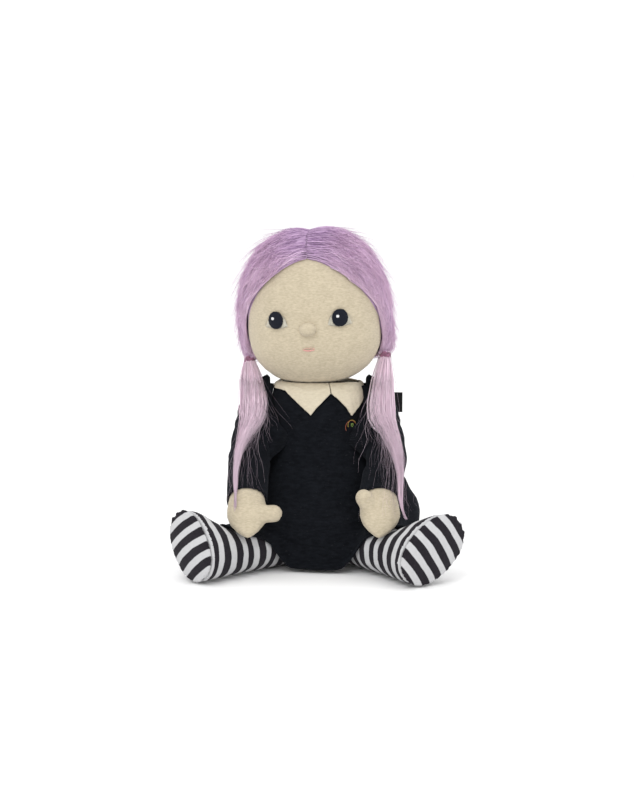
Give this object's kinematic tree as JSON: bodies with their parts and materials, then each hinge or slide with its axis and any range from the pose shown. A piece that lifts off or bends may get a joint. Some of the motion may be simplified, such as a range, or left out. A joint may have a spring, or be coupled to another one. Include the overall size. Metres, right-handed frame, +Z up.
{
  "type": "witch doll",
  "caption": "Soft cloth doll in a witch costume, sitting, with bunched long-pile hair, a black dress, striped legs, and head, arms and legs that turn.",
  "frame": {"origin": "middle of the flat seat, on the surface that the doll sits on", "axes": "+Z up, the face looks along -Y, +X is the doll's own left"},
  "size_m": [0.2115, 0.1608, 0.2502],
  "materials": {
    "skin_flannel": "matte",
    "collar_felt": "matte",
    "dress_cotton": "matte",
    "hair_pile": "satin",
    "hair_bunch": "satin",
    "hair_band": "matte",
    "striped_jersey": "matte",
    "navy_thread": "satin",
    "white_thread": "satin",
    "pink_thread": "satin",
    "bag_cotton": "matte",
    "tab_ribbon": "satin"
  },
  "bodies": {
    "torso_body": {"torso": "skin_flannel", "pellet_bag": "bag_cotton", "neck": "skin_flannel", "dress": "dress_cotton", "back_placket": "dress_cotton", "left_collar": "collar_felt", "right_collar": "collar_felt"},
    "head_body": {"head": "skin_flannel", "nose": "skin_flannel", "mouth": "pink_thread", "left_eye_white": "white_thread", "right_eye_white": "white_thread", "left_pupil": "navy_thread", "right_pupil": "navy_thread", "left_wig_half": "hair_pile", "right_wig_half": "hair_pile", "left_hair_tie": "hair_band", "right_hair_tie": "hair_band", "left_pigtail": "hair_bunch", "right_pigtail": "hair_bunch"},
    "left_arm_body": {"left_arm": "skin_flannel", "left_sleeve": "dress_cotton", "fabric_tab": "tab_ribbon"},
    "right_arm_body": {"right_arm": "skin_flannel", "right_sleeve": "dress_cotton"},
    "left_leg_body": {"left_leg": "striped_jersey", "left_sole": "striped_jersey"},
    "right_leg_body": {"right_leg": "striped_jersey", "right_sole": "striped_jersey"}
  },
  "joints": [
    {"name": "head_turn", "type": "hinge", "parent": "torso_body", "child": "head_body", "pos_m": [0, 0, 0.1331], "axis": [0, 0, 1], "range_deg": [-28, 42], "deforming": ["left_pigtail", "right_pigtail"]},
    {"name": "left_arm_swing", "type": "hinge", "parent": "torso_body", "child": "left_arm_body", "pos_m": [0.042, -0.001, 0.117], "axis": [-1, 0, 0], "range_deg": [0, 80], "deforming": ["left_pigtail"]},
    {"name": "right_arm_swing", "type": "hinge", "parent": "torso_body", "child": "right_arm_body", "pos_m": [-0.042, -0.001, 0.117], "axis": [-1, 0, 0], "range_deg": [0, 80], "deforming": ["right_pigtail"]},
    {"name": "left_leg_swing", "type": "hinge", "parent": "torso_body", "child": "left_leg_body", "pos_m": [0.026, -0.022, 0.0028], "axis": [0.848, 0.5299, 0], "range_deg": [0, 90], "deforming": ["dress"]},
    {"name": "right_leg_swing", "type": "hinge", "parent": "torso_body", "child": "right_leg_body", "pos_m": [-0.026, -0.022, 0.0028], "axis": [0.7373, -0.6756, 0], "range_deg": [0, 90], "deforming": ["dress"]}
  ]
}
